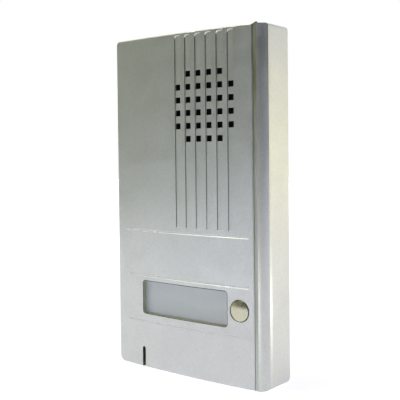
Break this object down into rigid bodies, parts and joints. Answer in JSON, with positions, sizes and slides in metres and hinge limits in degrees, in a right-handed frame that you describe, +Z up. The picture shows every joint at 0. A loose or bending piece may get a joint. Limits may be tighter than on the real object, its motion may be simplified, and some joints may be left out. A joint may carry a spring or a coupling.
{
  "type": "door intercom station",
  "caption": "Wall-mounted audio door station: bulged silver cover, ribbed speaker grille, name window, call button, microphone slot and full working inside.",
  "frame": {"origin": "under the middle of the bounding box, on the surface the station stands on", "axes": "+X to the right seen from the front, +Y from the front into the wall, +Z up"},
  "size_m": [0.098, 0.022, 0.1767],
  "materials": {
    "silver_paint": "moulded plastic with fine metallic silver paint, satin",
    "seam_rubber": "matt olive brown elastomer",
    "black_foam": "closed-cell foam",
    "black_rubber": "soft moulded rubber",
    "screw_steel": "zinc plated steel",
    "dust_mesh": "fine black woven dust mesh",
    "pressed_steel": "pressed and plated steel",
    "ferrite": "sintered ferrite, matt",
    "copper": "enamelled copper winding",
    "clear_film": "thin polyester film",
    "fibre_board": "paper phenolic board with solder tags",
    "aluminium_can": "drawn can",
    "button_metal": "polished metal, lightly worn",
    "black_plastic": "moulded, fine matt",
    "spring_steel": "drawn spring wire",
    "grey_plastic": "moulded",
    "clear_window": "clear polished plastic window",
    "card": "blank matt card",
    "white_plastic": "translucent white moulding",
    "board": "glass fibre board with solder resist",
    "terminal_green": "moulded, satin",
    "trimmer_blue": "moulded",
    "can_sleeve": "shrunk sleeve with bare aluminium top",
    "film_red": "dipped, glossy",
    "resistor_tan": null,
    "diode_glass": "moulded",
    "winding_tape": "yellow polyester tape",
    "lead_red": "insulated stranded wire",
    "lead_grey": "insulated stranded wire"
  },
  "bodies": {
    "housing": {"front_cover": "silver_paint", "rear_case": "silver_paint", "seam_strip": "seam_rubber", "wall_seal": "black_foam", "cable_grommet": "black_rubber", "cover_screw": "screw_steel", "grille_mesh": "dust_mesh", "speaker_seal": "black_foam", "speaker_frame": "pressed_steel", "pole_plate": "pressed_steel", "speaker_magnet": "ferrite", "speaker_yoke": "pressed_steel", "cone_surround": "clear_film", "speaker_terminals": "fibre_board", "speaker_clamps": "pressed_steel", "clamp_screws": "screw_steel", "microphone_boot": "black_rubber", "microphone_capsule": "aluminium_can", "button_guide": "black_plastic", "guide_screws": "screw_steel", "button_spring": "spring_steel", "switch_body": "black_plastic", "name_lens": "clear_window", "name_card": "card", "card_tray": "white_plastic", "circuit_board": "board", "board_screws": "screw_steel", "terminal_block": "terminal_green", "terminal_screws": "screw_steel", "volume_trimmer": "trimmer_blue", "microphone_trimmer": "trimmer_blue", "amplifier_chips": "black_plastic", "electrolytic_capacitors": "can_sleeve", "film_capacitors": "film_red", "resistors": "resistor_tan", "diodes": "diode_glass", "transformer_core": "ferrite", "transformer_winding": "winding_tape", "lead_plugs": "white_plastic", "lamps": "clear_film", "speaker_leads": "lead_red", "microphone_leads": "lead_grey"},
    "button": {"call_button": "button_metal", "snap_ring": "spring_steel", "switch_plunger": "grey_plastic"},
    "speaker_moving": {"speaker_cone": "clear_film", "dust_cap": "clear_film", "voice_coil": "copper"},
    "volume_rotor": {"volume_rotor": "white_plastic"},
    "microphone_rotor": {"microphone_rotor": "white_plastic"}
  },
  "joints": [
    {"name": "button_press", "type": "slide", "parent": "housing", "child": "button", "axis": [0, 1, 0], "range_m": [0, 0.0012], "stiffness_N_per_m": 900, "springref_m": -0.0012, "deforming": ["button_spring"]},
    {"name": "cone_slide", "type": "slide", "parent": "housing", "child": "speaker_moving", "axis": [0, 1, 0], "range_m": [-0.0004, 0.0004], "stiffness_N_per_m": 1500, "deforming": ["cone_surround"]},
    {"name": "volume_turn", "type": "hinge", "parent": "housing", "child": "volume_rotor", "pos_m": [0.026, 0, 0.078], "axis": [0, 1, 0], "range_deg": [-135, 135]},
    {"name": "microphone_turn", "type": "hinge", "parent": "housing", "child": "microphone_rotor", "pos_m": [0.026, 0, 0.06398], "axis": [0, 1, 0], "range_deg": [-135, 135]}
  ]
}
